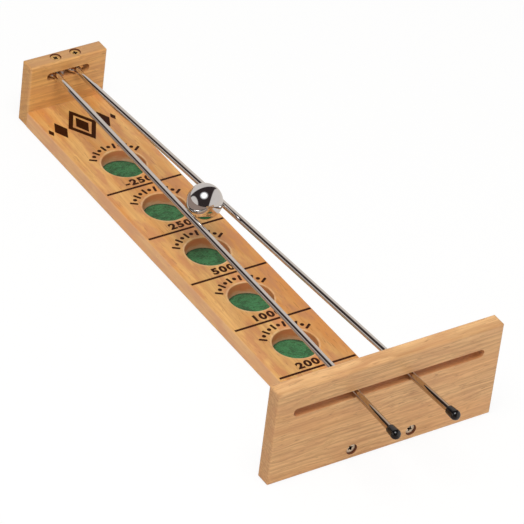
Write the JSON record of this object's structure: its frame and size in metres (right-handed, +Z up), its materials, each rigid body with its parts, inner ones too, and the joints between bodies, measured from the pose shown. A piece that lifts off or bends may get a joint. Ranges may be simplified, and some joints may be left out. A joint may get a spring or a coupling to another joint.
{
  "type": "ball rolling skill game",
  "caption": "Wooden skill game: a steel ball rolls uphill on hinged steel rails and drops into felt-lined scoring pockets in the board.",
  "frame": {"origin": "middle of the board's underside, on the table", "axes": "+Y along the board from the player's end to the pivots, +Z up, +X to the player's right"},
  "size_m": [0.1778, 0.4782, 0.076],
  "materials": {
    "board_wood": "varnished",
    "plate_wood": "varnished",
    "rail_steel": "polished",
    "ball_steel": "polished",
    "screw_steel": "plated",
    "grip_rubber": "satin",
    "felt": "matt"
  },
  "bodies": {
    "stand": {"play_board": "board_wood", "front_plate": "plate_wood", "back_plate": "plate_wood", "pocket_felt_1": "felt", "pocket_felt_2": "felt", "pocket_felt_3": "felt", "pocket_felt_4": "felt", "pocket_felt_5": "felt", "front_screw_left": "screw_steel", "front_screw_right": "screw_steel", "back_screw_left": "screw_steel", "back_screw_right": "screw_steel", "pivot_screw_left": "screw_steel", "pivot_screw_right": "screw_steel"},
    "left_arm": {"left_rail": "rail_steel", "left_grip": "grip_rubber"},
    "right_arm": {"right_rail": "rail_steel", "right_grip": "grip_rubber"},
    "rolling_ball": {"ball": "ball_steel"}
  },
  "joints": [
    {"name": "left_rail_swing", "type": "hinge", "parent": "stand", "child": "left_arm", "pos_m": [-0.0081, 0.207, 0.03866], "axis": [0, 0, -1], "range_deg": [0, 6.2]},
    {"name": "right_rail_swing", "type": "hinge", "parent": "stand", "child": "right_arm", "pos_m": [0.0081, 0.207, 0.03866], "axis": [0, 0, 1], "range_deg": [0, 7.3]},
    {"name": "ball_roll", "type": "slide", "parent": "stand", "child": "rolling_ball", "axis": [-0.0063, -0.9997, -0.0236], "range_m": [-0.172, 0.025]}
  ]
}
